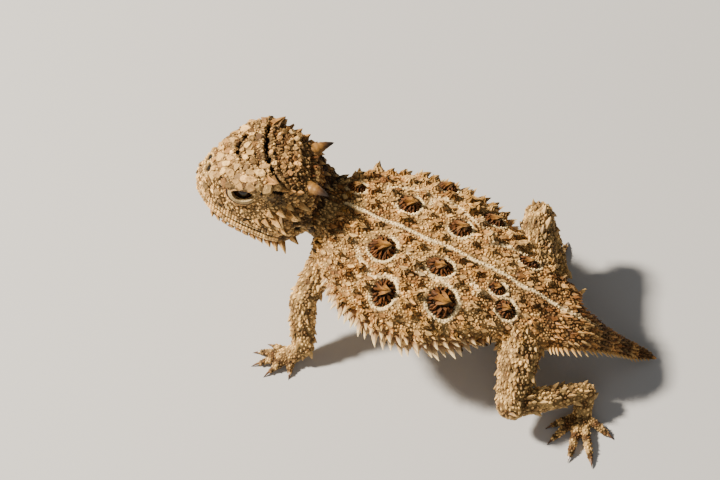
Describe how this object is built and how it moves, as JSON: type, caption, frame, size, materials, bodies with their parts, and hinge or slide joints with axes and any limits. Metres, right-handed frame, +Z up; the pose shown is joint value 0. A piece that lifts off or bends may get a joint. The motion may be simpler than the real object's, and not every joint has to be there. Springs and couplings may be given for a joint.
{
  "type": "texas horned lizard",
  "caption": "Young horned lizard standing on straight forelegs, head turned left, with spiny back, fringed flanks, short horns and short tail.",
  "frame": {"origin": "centre of the bottom of the whole animal's box, on the floor it stands on", "axes": "+Z up; the head points along -X and the tail along +X; the animal's left side is towards -Y"},
  "size_m": [0.0636, 0.0402, 0.0262],
  "materials": {
    "skin": "dry granular sandy skin with dark brown spots and cream rims",
    "horn": "satin orange-brown horn with a dark tip",
    "eye": "wet dark brown eye"
  },
  "bodies": {
    "root": {"head": "skin", "neck": "skin", "torso": "skin", "tail_base": "skin", "tail_tip": "skin", "upper_arm_left": "skin", "forearm_left": "skin", "hand_left": "skin", "upper_arm_right": "skin", "forearm_right": "skin", "hand_right": "skin", "thigh_left": "skin", "shank_left": "skin", "foot_left": "skin", "thigh_right": "skin", "shank_right": "skin", "foot_right": "skin", "horn_left": "horn", "horn_right": "horn", "eye_left": "eye", "eye_right": "eye"}
  },
  "joints": []
}
